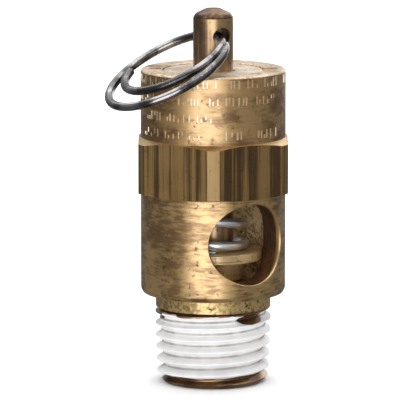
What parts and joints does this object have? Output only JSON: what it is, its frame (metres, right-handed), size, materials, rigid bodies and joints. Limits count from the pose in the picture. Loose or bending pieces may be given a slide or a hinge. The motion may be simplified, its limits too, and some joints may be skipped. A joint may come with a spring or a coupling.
{
  "type": "ring-pull pressure relief valve",
  "caption": "Brass air safety valve with tapered pipe thread inlet, centre hex, side discharge ports, spring-loaded disc and pull-ring test stem.",
  "frame": {"origin": "on the valve's axis at the end face of the inlet thread", "axes": "+Z along the valve's axis towards the test stem; the two discharge ports lie along -Y and +Y"},
  "size_m": [0.0233, 0.0178, 0.0442],
  "materials": {
    "body_brass": "machined bar, lightly tarnished",
    "plug_brass": "faced, dull",
    "disc_brass": "machined",
    "stem_brass": "drawn rod, browned",
    "zinc_wire": "bright zinc plate",
    "ring_steel": "dark tempered spring wire",
    "washer_steel": "plain steel",
    "sealant": "dried white sealant film",
    "seal_rubber": "black elastomer"
  },
  "bodies": {
    "valve": {"valve_body": "body_brass", "thread_sealant": "sealant", "adjusting_plug": "plug_brass", "spring_washer": "washer_steel", "spring": "zinc_wire"},
    "disc": {"disc_holder": "disc_brass", "seat_seal": "seal_rubber", "seal_retainer": "disc_brass"},
    "stem": {"stem": "stem_brass"},
    "ring": {"pull_ring": "ring_steel"}
  },
  "joints": [
    {"name": "disc_lift", "type": "slide", "parent": "valve", "child": "disc", "axis": [0, 0, 1], "range_m": [0, 0.002], "stiffness_N_per_m": 5000, "deforming": ["spring"]},
    {"name": "stem_turn", "type": "hinge", "parent": "disc", "child": "stem", "pos_m": [0, 0, 0.041], "axis": [0, 0, 1], "continuous": true},
    {"name": "ring_swing", "type": "hinge", "parent": "stem", "child": "ring", "pos_m": [0, 0, 0.041], "axis": [0.061, 0.9981, 0], "range_deg": [0, 234]}
  ]
}
